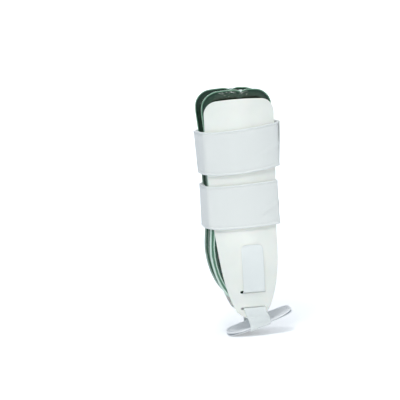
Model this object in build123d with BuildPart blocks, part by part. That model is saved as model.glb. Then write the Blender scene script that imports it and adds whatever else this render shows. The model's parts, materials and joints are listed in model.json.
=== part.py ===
from build123d import *
import os
from math import cos, exp, radians, sin, sqrt

os.makedirs("parts", exist_ok=True)

# Stirrup ankle brace for a right leg, in millimetres.
# +X points to the toes, +Y to the medial side and +Z up along the shells. The origin is the
# middle of the heel strap's underside, where the brace stands on the ground.
# Side-view places are given from the shells' lowest point, forward first and then up.

# ---- shells -------------------------------------------------------------------------------
shell_x = 5.4                # the shells' lowest point, forward of the origin
shell_z = 11.9               # and above it
shell_thickness = 2.3
shell_edge_radius = 0.7
shell_corner = 15.0          # the rounded upper corners
shell_arc_radius = 80.0      # the shells' curve in plan
shell_arc_x = 8.0            # the crown of that curve
sheet_reach = 52.0           # how far a sheet is drawn each way from that crown
sheet_bottom = -10.0         # its lowest section
section_pitch = 20.0
section_count = 16
leg_half_width = 45.0        # from the middle plane to the shell's outer face at mid-height
heel_taper = 12.5            # how much closer together the shells are at the heel
heel_taper_height = 32.0
ankle_bulge = 4.5            # room for the ankle bone
ankle_height = 82.0
ankle_spread = 26.0
calf_flare = 14.0            # how much further apart the shells are at the calf
calf_start = 110.0
calf_length = 165.0

# ---- air cells, measured inwards from the shell's outer face ------------------------------
cell_back = 4.6              # the cell's flat back, behind the hook pads
rim_thickness = 1.8
rim_width = 8.0
cell_thickness = 12.0
film = 0.8
cell_bottom_up = 25.0
cell_top_up = 259.5
cell_corner = 20.0
foam_gap = 0.3
foam_edge_gap = 4.0
hook_pad_radius = 11.0
hook_pad_heights = (88.0, 138.0, 196.0)

# ---- wrap straps --------------------------------------------------------------------------
strap_thickness = 1.6
strap_gap = 1.1              # from the shell's face to the strap, over the hook patches
patch_thickness = 0.9
strap_patch_forward = 4.0
strap_patch_heights = (129.0, 192.0)
strap_patch_length = 44.0
strap_patch_height = 38.0
strap_patch_corner = 4.0
tab_thickness = 0.4          # hook tab under a flap's tip
slip_gap = 0.3               # between layers that slide apart
flat_half_length = 20.0      # each strap runs straight across the shin and the calf this far
overlap_half_length = 18.0
hinge_gap = 0.6              # between a panel and the flap that is hinged to it
fold_margin = 0.9            # from the shell's edge back to a flap's fold

# ---- heel strap and its slots -------------------------------------------------------------
heel_strap_width = 24.5
heel_strap_thickness = 1.4
heel_strap_forward = 0.3     # the strap's middle at the slots
slot_length = 28.6
slot_height = 3.2
slot_forward = 1.7
lower_slot_up = 12.4
upper_slot_up = 31.6
tail_top_up = 85.0
tail_gap = 1.0               # from the shell's face to the tail, over its hook patch
fold_clearance = 0.5         # where the strap is divided at a fold
tail_corner = 5.0
tail_patch_up = 62.0
tail_patch_height = 36.0
tail_patch_margin = 1.5      # how far the tail covers its patch on each side
lip_up = 0.8                 # where the strap bends over the shells' lower edge
lip_gap = 0.5                # and how far it stands off the shell there
slot_overhang = 0.2          # how far the run stands out of the lower slot
slot_margin = 0.6            # between the strap beside the heel and the run in the slot
side_bend_z = 5.5            # where the strap starts to lean out to the shells

# ---- heel pad -----------------------------------------------------------------------------
pad_pitch = 17.0             # toes down, the pad against the shells
pad_length = 78.0
pad_half_width = 30.0
pad_forward = -3.3           # the pad's middle, forward of the strap
pad_corner = 22.0
cover_thickness = 0.4
pad_foam_thickness = 1.4
plate_thickness = 0.8
hook_strip_thickness = 0.4
hook_strip_margin = 1.5      # in from the strap's and the plate's edges
base_strap_thickness = 1.2
side_clearance = 0.3

# ---- inflation valves ---------------------------------------------------------------------
valve_forward = 1.0
valve_top_up = 257.0
stem_length = 14.0
stem_radius = 2.0
boss_radius = 3.0
bore_radius = 1.05
plug_radius = 1.0
plug_length = 9.0
plug_head_radius = 2.2
plug_head_height = 1.4
plug_edge_radius = 0.5


# ---- shared geometry ----------------------------------------------------------------------
def half_width(z):
    """Distance from the middle plane to the crown of the shell's outer face at height z."""
    heel = heel_taper * exp(-((z / heel_taper_height) ** 2))
    ankle = ankle_bulge * exp(-(((z - ankle_height) / ankle_spread) ** 2))
    calf = calf_flare * (max(0, z - calf_start) / calf_length) ** 2
    return leg_half_width - heel + ankle + calf


def face_y(x, z):
    """Distance from the middle plane to the shell's outer face."""
    drop = shell_arc_radius - sqrt(shell_arc_radius**2 - (x - shell_arc_x) ** 2)
    return half_width(z) - drop


def at(forward, up):
    """A side-view point measured from the shells' lowest point."""
    return (shell_x + forward, shell_z + up)


def pad_point(forward, up):
    """A side-view point given in the pitched heel pad's own directions."""
    pitch = radians(pad_pitch)
    return (forward * cos(pitch) + up * sin(pitch), up * cos(pitch) - forward * sin(pitch))


def side_layer(outline, inner, outer):
    """A medial sheet between two offsets from the shell's outer face, cut to a side outline."""
    rear_x, front_x = shell_arc_x - sheet_reach, shell_arc_x + sheet_reach
    with BuildPart() as layer:
        for step in range(section_count):
            z = sheet_bottom + step * section_pitch
            crown = half_width(z)
            edge = face_y(front_x, z)
            with BuildSketch(Plane.XY.offset(z)):
                with BuildLine():
                    rear_outer = (rear_x, edge + outer)
                    front_outer = (front_x, edge + outer)
                    rear_inner = (rear_x, edge + inner)
                    front_inner = (front_x, edge + inner)
                    ThreePointArc(rear_outer, (shell_arc_x, crown + outer), front_outer)
                    Line(front_outer, front_inner)
                    ThreePointArc(front_inner, (shell_arc_x, crown + inner), rear_inner)
                    Line(rear_inner, rear_outer)
                make_face()
        loft()
        extrude(outline, amount=2 * sheet_reach, both=True, mode=Mode.INTERSECT)
    return layer.part


def finish(piece, name):
    """Label one sub-part and write it to its own file."""
    piece.label = name
    export_step(piece, f"parts/{name}.step")


def finish_pair(medial_piece, name):
    """Write a medial piece and its mirror image on the lateral side."""
    lateral_piece = mirror(medial_piece, about=Plane.XZ)
    finish(medial_piece, f"medial_{name}")
    finish(lateral_piece, f"lateral_{name}")


# ---- side-view outlines -------------------------------------------------------------------
def shell_outline():
    with BuildSketch(Plane.XZ) as outline:
        with BuildLine():
            front = Spline(at(20.5, 8.3), at(30.7, 36.6), at(38.4, 86.7), at(42.6, 153), at(43, 246))
            top = ThreePointArc(front @ 1, at(4, 248.5), at(-35.6, 246))
            rear = Spline(top @ 1, at(-33.4, 160), at(-30.2, 100), at(-23.5, 30), at(-15, 7))
            ThreePointArc(rear @ 1, at(2, 0), front @ 0)
        make_face()
        fillet(outline.vertices().group_by(Axis.Z)[-1], shell_corner)
        with Locations(at(slot_forward, lower_slot_up), at(slot_forward, upper_slot_up)):
            SlotOverall(slot_length, slot_height, mode=Mode.SUBTRACT)
    return outline.sketch


def cell_outline(inset=0.0):
    """The air cell's side view, drawn smaller all round by about inset."""
    low = cell_bottom_up + inset
    top = cell_top_up - inset
    left, right = -inset, inset
    with BuildSketch(Plane.XZ) as outline:
        with BuildLine():
            front = Spline(
                at(27 + left, low), at(36 + left, 37), at(42.5 + left, 54), at(46 + left, 78),
                at(43.8 + left, 104), at(43.5 + left, 160), at(43.7 + left, 216),
                at(45.5 + left, 238), at(45.5 + left, top - 3),
            )
            crown = ThreePointArc(front @ 1, at(3, top), at(-35 + right, top - 3))
            rear = Spline(
                crown @ 1, at(-32 + right, 160), at(-29.5 + right, 100), at(-23.5 + right, 42),
                at(-15 + right, low),
            )
            ThreePointArc(rear @ 1, at(5, low - 10 + inset / 2), front @ 0)
        make_face()
        fillet(outline.vertices().group_by(Axis.Z)[-1], cell_corner - inset)
    return outline.sketch


def heel_strap_outline(bottom_up, top_up, corner=0.0):
    with BuildSketch(Plane.XZ) as outline:
        with Locations(at(heel_strap_forward, (bottom_up + top_up) / 2)):
            Rectangle(heel_strap_width, top_up - bottom_up)
        if corner:
            fillet(outline.vertices().group_by(Axis.Z)[-1], corner)
    return outline.sketch


# ---- shells and what is bonded to them ----------------------------------------------------
shell_sheet = side_layer(shell_outline(), -shell_thickness, 0)

with BuildPart() as shell:
    add(shell_sheet)
    outer_face = shell.faces().sort_by(Axis.Y)[-1]
    fillet(outer_face.outer_wire().edges(), shell_edge_radius)
finish_pair(shell.part, "shell")

with BuildSketch(Plane.XZ) as hook_pad_outline:
    with Locations([at(slot_forward, up) for up in hook_pad_heights]):
        Circle(hook_pad_radius)
finish_pair(side_layer(hook_pad_outline.sketch, -cell_back, -shell_thickness), "liner_hook_pads")

with BuildSketch(Plane.XZ) as strap_patch_outline:
    with Locations([at(strap_patch_forward, up) for up in strap_patch_heights]):
        RectangleRounded(strap_patch_length, strap_patch_height, strap_patch_corner)
finish_pair(side_layer(strap_patch_outline.sketch, 0, patch_thickness), "strap_hook_patches")

with BuildSketch(Plane.XZ) as tail_patch_outline:
    with Locations(at(heel_strap_forward, tail_patch_up)):
        RectangleRounded(
            heel_strap_width - 2 * tail_patch_margin, tail_patch_height, 2 * tail_patch_margin
        )
finish_pair(side_layer(tail_patch_outline.sketch, 0, patch_thickness), "tail_hook_patch")

# ---- air cells ----------------------------------------------------------------------------
cell_front = cell_back + cell_thickness
pillow_start = cell_back + rim_thickness

valve_x = shell_x + valve_forward
valve_z = shell_z + valve_top_up
valve_y = face_y(valve_x, valve_z) - cell_back - stem_radius
stem_foot_y = face_y(valve_x, valve_z - stem_length) - cell_back - stem_radius
valve_plane = Plane(
    origin=(valve_x, valve_y, valve_z),
    x_dir=(1, 0, 0),
    z_dir=(0, valve_y - stem_foot_y, stem_length),
)

rim_sheet = side_layer(cell_outline(), -pillow_start, -cell_back)
pillow = side_layer(cell_outline(rim_width), -cell_front, -cell_back)
hollow = side_layer(cell_outline(rim_width + film), film - cell_front, -cell_back - film)

with BuildPart() as air_cell:
    add(rim_sheet)
    add(pillow)
    with BuildSketch(valve_plane):
        Circle(boss_radius)
    extrude(amount=-stem_length)
    add(hollow, mode=Mode.SUBTRACT)
    with BuildSketch(valve_plane):
        Circle(stem_radius)
    extrude(amount=-stem_length, mode=Mode.SUBTRACT)
    with BuildSketch(valve_plane):
        Circle(plug_head_radius + side_clearance)
    extrude(amount=2 * plug_head_height, mode=Mode.SUBTRACT)
finish_pair(air_cell.part, "air_cell")

foam_back = cell_back + film + foam_gap
foam_front = cell_front - film - foam_gap
foam_sheet = side_layer(cell_outline(rim_width + film + foam_edge_gap), -foam_front, -foam_back)

with BuildPart() as foam_insert:
    add(foam_sheet)
    with BuildSketch(valve_plane):
        Circle(boss_radius + foam_gap)
    extrude(amount=-2 * stem_length, mode=Mode.SUBTRACT)
finish_pair(foam_insert.part, "foam_insert")

with BuildPart() as valve_stem:
    with BuildSketch(valve_plane):
        Circle(stem_radius)
        Circle(bore_radius, mode=Mode.SUBTRACT)
    extrude(amount=-stem_length)
finish_pair(valve_stem.part, "valve_stem")

with BuildPart() as valve_plug:
    with BuildSketch(valve_plane):
        Circle(plug_radius)
    extrude(amount=-plug_length)
    with BuildSketch(valve_plane):
        Circle(plug_head_radius)
    extrude(amount=plug_head_height)
    fillet(valve_plug.edges().sort_by(Axis.Z)[-1], plug_edge_radius)
finish_pair(valve_plug.part, "valve_plug")

# ---- heel strap on the shells -------------------------------------------------------------
run_outer = -shell_thickness - side_clearance
run_inner = run_outer - heel_strap_thickness
half_strap = heel_strap_thickness / 2

run_bottom = lower_slot_up - half_strap
run_top = upper_slot_up + half_strap
tail_bottom = run_top + fold_clearance
tail_face = tail_gap + heel_strap_thickness
behind_shell = side_layer(heel_strap_outline(run_bottom, run_top), run_inner, run_outer)
through_lower_slot = side_layer(
    heel_strap_outline(run_bottom, lower_slot_up + half_strap), run_inner, slot_overhang
)
through_upper_slot = side_layer(
    heel_strap_outline(upper_slot_up - half_strap, run_top), run_inner, tail_face
)

with BuildPart() as strap_inner_run:
    add(behind_shell)
    add(through_lower_slot)
    add(through_upper_slot)
finish_pair(strap_inner_run.part, "strap_inner_run")

tail = side_layer(heel_strap_outline(tail_bottom, tail_top_up, tail_corner), tail_gap, tail_face)
finish_pair(tail, "strap_tail")

# ---- heel strap beside the heel -----------------------------------------------------------
base_top_y = pad_half_width + side_clearance + base_strap_thickness
fold_y = base_top_y + side_clearance
lip_z = shell_z + lip_up
strap_end_z = shell_z + lower_slot_up - half_strap - slot_margin
strap_top_x = shell_x + heel_strap_forward

with BuildPart() as stirrup_side:
    with BuildSketch(Plane.YZ):
        with BuildLine():
            inner_face = Polyline(
                (fold_y, -heel_strap_width),
                (fold_y, side_bend_z),
                (face_y(shell_arc_x, lip_z) + lip_gap, lip_z),
                (face_y(shell_arc_x, strap_end_z) + lip_gap, strap_end_z),
            )
            outer_face = Polyline([point + Vector(heel_strap_thickness, 0) for point in
                                   (inner_face.vertices())])
            Line(inner_face @ 0, outer_face @ 0)
            Line(inner_face @ 1, outer_face @ 1)
        make_face()
    extrude(amount=pad_length / 2, both=True)
    with BuildSketch(Plane.XZ):
        Polygon(
            pad_point(-heel_strap_width / 2, fold_clearance),
            pad_point(heel_strap_width / 2, fold_clearance),
            (strap_top_x + heel_strap_width / 2, strap_end_z),
            (strap_top_x - heel_strap_width / 2, strap_end_z),
            align=None,
        )
    extrude(amount=2 * leg_half_width, both=True, mode=Mode.INTERSECT)
finish_pair(stirrup_side.part, "stirrup_side")

# ---- heel pad -----------------------------------------------------------------------------
pad_plane = Plane(origin=(0, 0, 0), x_dir=(1, 0, 0), z_dir=(0, 0, 1)).rotated((0, pad_pitch, 0))


def pad_layer(bottom, thickness):
    """One layer of the heel pad, at its height over the strap's underside."""
    with BuildPart() as layer:
        with BuildSketch(pad_plane.offset(bottom)):
            with Locations((pad_forward, 0)):
                RectangleRounded(pad_length, 2 * pad_half_width, pad_corner)
        extrude(amount=thickness)
    return layer.part


plate_bottom = base_strap_thickness + hook_strip_thickness
foam_bottom = plate_bottom + plate_thickness
cover_bottom = foam_bottom + pad_foam_thickness
pad_top = cover_bottom + cover_thickness

finish(pad_layer(plate_bottom, plate_thickness), "heel_plate")
finish(pad_layer(foam_bottom, pad_foam_thickness), "heel_pad_foam")
finish(pad_layer(cover_bottom, cover_thickness), "heel_pad_cover")

with BuildPart() as heel_hook_strip:
    with BuildSketch(pad_plane.offset(base_strap_thickness)):
        Rectangle(heel_strap_width - 2 * hook_strip_margin, 2 * (pad_half_width - hook_strip_margin))
    extrude(amount=hook_strip_thickness)
finish(heel_hook_strip.part, "heel_hook_strip")

with BuildPart() as stirrup_base:
    with BuildSketch(pad_plane):
        Rectangle(heel_strap_width, 2 * base_top_y)
    extrude(amount=pad_top + 1)
    with BuildSketch(pad_plane.offset(base_strap_thickness)):
        Rectangle(2 * heel_strap_width, 2 * (base_top_y - base_strap_thickness))
    extrude(amount=2 * pad_top, mode=Mode.SUBTRACT)
finish(stirrup_base.part, "stirrup_base")


# ---- wrap straps --------------------------------------------------------------------------
class Band:
    """One wrap strap: its edges at the shell's front and rear, and where it crosses the leg."""

    def __init__(self, name, front_up, rear_up, front_plane, rear_plane, front_edge, rear_edge):
        self.name = name
        self.front_up = front_up        # lower and upper edge at the shells' front
        self.rear_up = rear_up          # lower and upper edge at the shells' rear
        self.front_plane = front_plane  # outer face across the shin
        self.rear_plane = rear_plane    # outer face across the calf
        self.front_edge = front_edge    # the shells' edges under the strap
        self.rear_edge = rear_edge


bands = (
    Band("upper_strap", (165, 213), (170, 219), 50.0, -42.0, 43.2, -36.2),
    Band("lower_strap", (103.5, 152), (105, 154.6), 49.0, -36.8, 42.8, -33.0),
)
edge_reach = 30.0            # how far past the shells the sloping strap edges are drawn
edge_margin = 4.0            # how far past its edges a strap is lofted before it is trimmed
bend_reach = 0.6             # from the shells' edge out to the strap's bend
tuck_start_inset = 1.0       # where a tucked end leaves the panel, in from the shells' edge
tuck_lap = 2.0               # how far it runs on under the panel
tab_margin = 2.0             # in from both ends of the overlap
cut_reach = 300.0            # taller than the brace


def band_outline(band, rear, front):
    """The strap's sloping side view between two forward places."""

    def up(edge, forward):
        share = (forward - band.rear_edge) / (band.front_edge - band.rear_edge)
        return band.rear_up[edge] + share * (band.front_up[edge] - band.rear_up[edge])

    corners = (
        at(rear, up(0, rear)),
        at(front, up(0, front)),
        at(front, up(1, front)),
        at(rear, up(1, rear)),
    )
    with BuildSketch(Plane.XZ) as outline:
        with BuildLine():
            Polyline(*corners, close=True)
        make_face()
    return outline.sketch


def across_leg(band, ahead, root_forward, plane, tip_y, inset, thickness):
    """A strap's run from the medial shell's edge straight across the shin or the calf.

    ahead is 1 over the shin and -1 over the calf. inset is how far the sheet lies inside plane.
    """
    edge = band.front_edge if ahead > 0 else band.rear_edge
    lowest = shell_z + min(band.front_up) - edge_margin
    highest = shell_z + max(band.rear_up) + edge_margin
    slab = band_outline(band, band.rear_edge - edge_reach, band.front_edge + edge_reach)
    with BuildPart() as run:
        for z in (lowest, highest):
            root_x = shell_x + root_forward
            bend_x = shell_x + edge + ahead * bend_reach
            flat_x = shell_x + plane - ahead * (inset + thickness)
            root_y = face_y(root_x, z) + strap_gap
            bend_y = face_y(bend_x, z) + strap_gap / 2
            inside = ((root_x, root_y), (bend_x, bend_y), (flat_x, flat_half_length), (flat_x, tip_y))
            outside = (
                (root_x, root_y + thickness),
                (bend_x + ahead * thickness, bend_y + thickness / 2),
                (flat_x + ahead * thickness, flat_half_length),
                (flat_x + ahead * thickness, tip_y),
            )
            with BuildSketch(Plane.XY.offset(z)):
                with BuildLine():
                    Polyline(*inside, *reversed(outside), close=True)
                make_face()
        loft(ruled=True)
        extrude(slab, amount=2 * leg_half_width, both=True, mode=Mode.INTERSECT)
    return run.part


def strap_half(band, flap_ahead, flap_name):
    """The panel on the medial shell with its tucked end, the flap hinged to it, and its tab."""
    flap_edge, flap_plane = band.front_edge, band.front_plane
    tuck_edge, tuck_plane = band.rear_edge, band.rear_plane
    if flap_ahead < 0:
        flap_edge, tuck_edge = tuck_edge, flap_edge
        flap_plane, tuck_plane = tuck_plane, flap_plane
    fold = flap_edge - flap_ahead * fold_margin
    panel_end = fold - flap_ahead * hinge_gap
    tuck_start = tuck_edge + flap_ahead * tuck_start_inset
    tuck_root = tuck_start + flap_ahead * tuck_lap
    tuck_inset = strap_thickness + tab_thickness + slip_gap
    low, high = sorted((panel_end, tuck_start))

    side = side_layer(band_outline(band, low, high), strap_gap, strap_gap + strap_thickness)
    tuck = across_leg(band, -flap_ahead, tuck_root, tuck_plane, -overlap_half_length,
                      tuck_inset, strap_thickness)
    flap = across_leg(band, flap_ahead, fold, flap_plane, -overlap_half_length, 0, strap_thickness)
    under_flap = across_leg(band, flap_ahead, fold, flap_plane, -overlap_half_length,
                            strap_thickness, tab_thickness)

    with BuildPart() as panel:
        add(side)
        add(tuck)
    with BuildPart() as tab:
        add(under_flap)
        with BuildSketch(Plane.YZ):
            Rectangle(2 * (overlap_half_length - tab_margin), 2 * cut_reach)
        extrude(amount=2 * leg_half_width, both=True, mode=Mode.INTERSECT)
    return panel.part, flap, tab.part


for band in bands:
    medial = strap_half(band, 1, "front")
    lateral = [mirror(piece, about=Plane.XZ) for piece in strap_half(band, -1, "rear")]
    for side, end, pieces in (("medial", "front", medial), ("lateral", "rear", lateral)):
        panel, flap, tab = pieces
        finish(panel, f"{band.name}_{side}_panel")
        finish(flap, f"{band.name}_{end}_flap")
        finish(tab, f"{band.name}_{end}_tab")
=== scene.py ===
import json
import math

import bmesh
import bpy
from mathutils import Matrix, Vector, noise


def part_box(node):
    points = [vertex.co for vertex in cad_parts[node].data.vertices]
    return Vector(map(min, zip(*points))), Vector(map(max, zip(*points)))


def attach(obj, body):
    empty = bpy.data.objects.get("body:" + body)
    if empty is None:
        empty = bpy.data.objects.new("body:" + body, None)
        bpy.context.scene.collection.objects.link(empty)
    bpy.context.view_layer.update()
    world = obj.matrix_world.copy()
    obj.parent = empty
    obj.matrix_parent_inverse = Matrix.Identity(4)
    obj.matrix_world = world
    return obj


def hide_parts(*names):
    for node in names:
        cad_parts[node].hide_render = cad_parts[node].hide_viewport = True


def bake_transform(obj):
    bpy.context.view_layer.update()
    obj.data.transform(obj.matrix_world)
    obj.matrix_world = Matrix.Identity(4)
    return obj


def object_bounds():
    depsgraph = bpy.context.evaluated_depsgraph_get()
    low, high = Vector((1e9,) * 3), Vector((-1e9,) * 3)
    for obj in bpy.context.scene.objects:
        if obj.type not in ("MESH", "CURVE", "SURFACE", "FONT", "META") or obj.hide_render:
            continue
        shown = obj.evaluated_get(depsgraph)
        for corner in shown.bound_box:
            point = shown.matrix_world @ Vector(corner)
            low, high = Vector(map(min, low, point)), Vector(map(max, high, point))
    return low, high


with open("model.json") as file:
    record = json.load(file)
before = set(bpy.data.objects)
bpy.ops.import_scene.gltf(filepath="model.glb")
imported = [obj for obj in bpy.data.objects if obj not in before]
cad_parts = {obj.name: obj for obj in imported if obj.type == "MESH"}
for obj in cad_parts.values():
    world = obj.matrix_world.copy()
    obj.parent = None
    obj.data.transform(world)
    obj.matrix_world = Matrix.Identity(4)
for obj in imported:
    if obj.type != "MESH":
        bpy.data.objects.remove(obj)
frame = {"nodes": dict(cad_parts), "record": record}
cad_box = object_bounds()
nodes = frame["nodes"]

# Lengths are in millimetres up to the moment a mesh is made. +X points to the toes, +Y to the
# medial side and +Z up along the shells.
MM = 0.001

# ---- the shells' own curve, which everything on them follows --------------------------------
ARC_RADIUS = 80.0
ARC_X = 8.0
HALF_WIDTH = 45.0
HEEL_TAPER = 12.5
HEEL_TAPER_HEIGHT = 32.0
ANKLE_BULGE = 4.5
ANKLE_HEIGHT = 82.0
ANKLE_SPREAD = 26.0
CALF_FLARE = 14.0
CALF_START = 110.0
CALF_LENGTH = 165.0

# ---- cloth ---------------------------------------------------------------------------------
STRAP_THICKNESS = 1.6
STRAP_LIFT = 1.1             # from the shell's face to a wrap strap
HEM = 2.6                    # width of the woven edge of a wrap strap
HEM_RISE = 0.28
WEBBING_THICKNESS = 1.4
TAB_THICKNESS = 0.38         # hook tab under a flap's tip
TAB_REACH = 16.0
FOLD_MARGIN = 0.9            # from a flap's box to the fold at the shell's edge
TIP_Y = 18.0                 # a strap end stops this far past the middle plane
STRAIGHT_Y = 20.0            # a wrap strap runs straight across within this
TURN_RADIUS = 9.0            # where it turns from straight across towards a shell
EDGE_RADIUS = 3.2            # where it folds over a shell's edge
FACE_RADIUS = 3.0
EDGE_OUT = 0.9
EDGE_IN = 0.6
# how far the straps stand off their CAD planes over the shin and the calf, at the top and bottom
TAPERS = {"upper_strap": ((0.3, -1.3), (-3.0, 1.3)), "lower_strap": ((-0.9, 0.0), (1.3, 2.2))}
# how far the lower and the upper edge of a wrap strap hang down midway across its panel
SAGS = {"upper_strap": (2.6, 1.4), "lower_strap": (0.8, 0.3)}
SHIN_RISE = 2.2              # how far a wrap strap rises as it turns over the shin
CREASE_SLOPE = 0.45          # a soft fold across each panel, low down towards the calf
CREASE_END = -2.0
CREASE_SHARE = 0.22          # of the strap's width, up from its lower edge
CREASE_HEIGHT = 0.9
CREASE_WIDTH = 1.3
CREASE_FADE = 12
RIPPLE_HEIGHT = 0.35
STITCH_LENGTH = 2.1
STITCH_PITCH = 3.0
STITCH_RADIUS = 0.22

# ---- air cells, measured in from the shell's outer face --------------------------------------
CELL_BACK = 4.7
CELL_RIM = 7.5               # width of the welded rim
CELL_SWELL = 10.2
VALVE_NOTCH = 2.6            # how far the rim dips so that the valve's plug shows


def box_mm(node):
    """A CAD node's lowest and highest corner in millimetres."""
    low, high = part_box(node)
    return Vector(low) / MM, Vector(high) / MM


def half_width(z):
    """Distance from the middle plane to the crown of a shell's outer face."""
    heel = HEEL_TAPER * math.exp(-((z / HEEL_TAPER_HEIGHT) ** 2))
    ankle = ANKLE_BULGE * math.exp(-(((z - ANKLE_HEIGHT) / ANKLE_SPREAD) ** 2))
    calf = CALF_FLARE * (max(0.0, z - CALF_START) / CALF_LENGTH) ** 2
    return HALF_WIDTH - heel + ankle + calf


def face_y(x, z):
    """Distance from the middle plane to a shell's outer face."""
    drop = ARC_RADIUS - math.sqrt(ARC_RADIUS**2 - (x - ARC_X) ** 2)
    return half_width(z) - drop


def lerp(a, b, t):
    return a + (b - a) * t


def smooth(t):
    t = min(1.0, max(0.0, t))
    return t * t * (3 - 2 * t)


# ---- materials -----------------------------------------------------------------------------
class Shader:
    """A small helper that builds one node material."""

    def __init__(self, name, **settings):
        self.material = bpy.data.materials.new(name)
        self.material.use_nodes = True
        self.tree = self.material.node_tree
        self.surface = self.tree.nodes["Principled BSDF"]
        for key, value in settings.items():
            self.surface.inputs[key.replace("_", " ")].default_value = value

    def node(self, kind, **settings):
        made = self.tree.nodes.new(kind)
        for key, value in settings.items():
            socket = made.inputs.get(key.replace("_", " "))
            if socket is not None:
                socket.default_value = value
            else:
                setattr(made, key, value)
        return made

    def link(self, out, into):
        self.tree.links.new(out, into)

    def coordinates(self, attribute=None):
        """Object space in millimetres, or the cloth's own length and width."""
        if attribute:
            return self.node("ShaderNodeAttribute", attribute_name=attribute).outputs["Vector"]
        place = self.node("ShaderNodeTexCoord").outputs["Object"]
        scale = self.node("ShaderNodeVectorMath", operation="SCALE", Scale=1 / MM)
        self.link(place, scale.inputs[0])
        return scale.outputs[0]

    def noise(self, where, scale, detail=3.0):
        made = self.node("ShaderNodeTexNoise", Scale=scale, Detail=detail)
        self.link(where, made.inputs["Vector"])
        return made.outputs["Fac"]

    def voronoi(self, where, scale):
        made = self.node("ShaderNodeTexVoronoi", Scale=scale)
        self.link(where, made.inputs["Vector"])
        return made.outputs["Distance"]

    def waves(self, where, scale, direction, distortion=0.0):
        made = self.node("ShaderNodeTexWave", bands_direction=direction, Scale=scale,
                         Distortion=distortion)
        self.link(where, made.inputs["Vector"])
        return made.outputs["Fac"]

    def math(self, operation, first, second):
        made = self.node("ShaderNodeMath", operation=operation)
        for slot, value in enumerate((first, second)):
            if isinstance(value, (int, float)):
                made.inputs[slot].default_value = value
            else:
                self.link(value, made.inputs[slot])
        return made.outputs[0]

    def ramp(self, factor, stops):
        made = self.node("ShaderNodeValToRGB")
        elements = made.color_ramp.elements
        while len(elements) < len(stops):
            elements.new(0.5)
        for element, (place, colour) in zip(elements, stops):
            element.position = place
            element.color = (*colour, 1.0)
        self.link(factor, made.inputs["Fac"])
        return made.outputs["Color"]

    def colour(self, factor, stops):
        self.link(self.ramp(factor, stops), self.surface.inputs["Base Color"])

    def roughness(self, factor, low, high):
        span = self.node("ShaderNodeMapRange")
        span.inputs["To Min"].default_value = low
        span.inputs["To Max"].default_value = high
        self.link(factor, span.inputs["Value"])
        self.link(span.outputs["Result"], self.surface.inputs["Roughness"])

    def bump(self, height, strength, distance_mm):
        made = self.node("ShaderNodeBump", Strength=strength, Distance=distance_mm * MM)
        self.link(height, made.inputs["Height"])
        previous = self.surface.inputs["Normal"].links
        if previous:
            self.link(previous[0].from_socket, made.inputs["Normal"])
        self.link(made.outputs["Normal"], self.surface.inputs["Normal"])


def shell_plastic():
    """Satin white moulded plastic with a faint orange-peel skin."""
    shader = Shader("shell_plastic", Roughness=0.34, Subsurface_Weight=0.12, Subsurface_Scale=0.004,
                    Coat_Weight=0.18, Coat_Roughness=0.22)
    place = shader.coordinates()
    shader.colour(shader.noise(place, 0.035, 4.0),
                  ((0.30, (0.86, 0.87, 0.81)), (0.70, (0.915, 0.915, 0.85))))
    shader.roughness(shader.noise(place, 0.22, 5.0), 0.28, 0.44)
    shader.bump(shader.noise(place, 0.9, 2.0), 0.12, 0.10)
    shader.bump(shader.noise(place, 0.05, 1.0), 0.35, 0.35)
    return shader.material


def loop_fabric():
    """Brushed loop fabric: a soft knitted face with a fine rib and a fuzzy nap."""
    shader = Shader("strap_loop", Roughness=0.92, Sheen_Weight=0.55, Sheen_Roughness=0.45)
    cloth = shader.coordinates("cloth")
    rib = shader.waves(cloth, 0.42, "Y", 1.2)
    cross = shader.waves(cloth, 0.30, "X", 2.0)
    nap = shader.noise(cloth, 1.9, 6.0)
    tone = shader.math("ADD", shader.math("MULTIPLY", rib, 0.25),
                       shader.math("MULTIPLY", nap, 0.75))
    shader.colour(tone, ((0.25, (0.785, 0.81, 0.785)), (0.75, (0.87, 0.88, 0.845))))
    shader.bump(rib, 0.35, 0.25)
    shader.bump(cross, 0.22, 0.2)
    shader.bump(nap, 0.55, 0.35)
    return shader.material


def webbing():
    """Flat woven webbing, a chevron of fine warp threads."""
    shader = Shader("webbing", Roughness=0.8, Sheen_Weight=0.3, Sheen_Roughness=0.4)
    cloth = shader.coordinates("cloth")
    warp = shader.waves(cloth, 0.55, "Y")
    weft = shader.waves(cloth, 0.38, "DIAGONAL")
    fibre = shader.noise(cloth, 2.4, 5.0)
    tone = shader.math("ADD", shader.math("MULTIPLY", warp, 0.35),
                       shader.math("MULTIPLY", fibre, 0.65))
    shader.colour(tone, ((0.2, (0.81, 0.86, 0.85)), (0.8, (0.95, 0.965, 0.93))))
    shader.bump(warp, 0.5, 0.22)
    shader.bump(weft, 0.4, 0.2)
    shader.bump(fibre, 0.3, 0.15)
    return shader.material


def hook_tape():
    """Hook tape: rows of tiny stiff hooks on a flat backing."""
    shader = Shader("hook_tape", Roughness=0.55)
    place = shader.coordinates()
    hooks = shader.voronoi(place, 0.75)
    shader.colour(hooks, ((0.05, (0.90, 0.91, 0.92)), (0.6, (0.70, 0.72, 0.74))))
    shader.bump(hooks, 0.9, 0.5)
    shader.roughness(shader.noise(place, 0.8), 0.45, 0.7)
    return shader.material


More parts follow.
